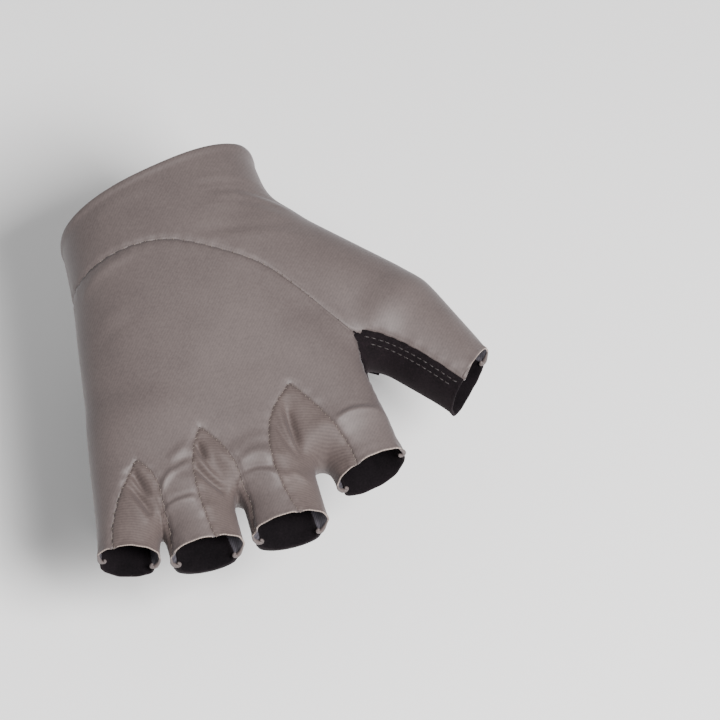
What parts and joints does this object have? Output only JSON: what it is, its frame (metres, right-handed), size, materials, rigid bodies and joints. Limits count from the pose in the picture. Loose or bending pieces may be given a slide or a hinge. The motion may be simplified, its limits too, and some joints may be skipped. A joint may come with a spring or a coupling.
{
  "type": "cycling mitt",
  "caption": "Right-hand short-finger cycling mitt with a knitted back, dark suede palm, open finger and thumb hems and a webbing pull tab at the wrist.",
  "frame": {"origin": "centre of the wrist opening, where the wrist enters", "axes": "+Z out of the back of the hand, -Y along the fingers, +X towards the thumb"},
  "size_m": [0.1427, 0.1411, 0.0467],
  "materials": {
    "upper_knit": "smooth stretch knit with a soft sheen",
    "gusset_knit": "stretch knit with fine slanting ribs",
    "palm_suede": "matt brushed microfibre suede",
    "patch_suede": "matt brushed microfibre suede",
    "ribbed_tab": "matt moulded ribs",
    "black_webbing": "woven tape"
  },
  "bodies": {
    "root": {"back_panel": "upper_knit", "cuff_and_thumb_panel": "upper_knit", "palm_panel": "palm_suede", "gusset_index_middle": "gusset_knit", "gusset_middle_ring": "gusset_knit", "gusset_ring_little": "gusset_knit", "wrist_tab": "black_webbing", "thumb_web_patch": "patch_suede", "middle_finger_tab": "ribbed_tab", "ring_finger_tab": "ribbed_tab"}
  },
  "joints": []
}
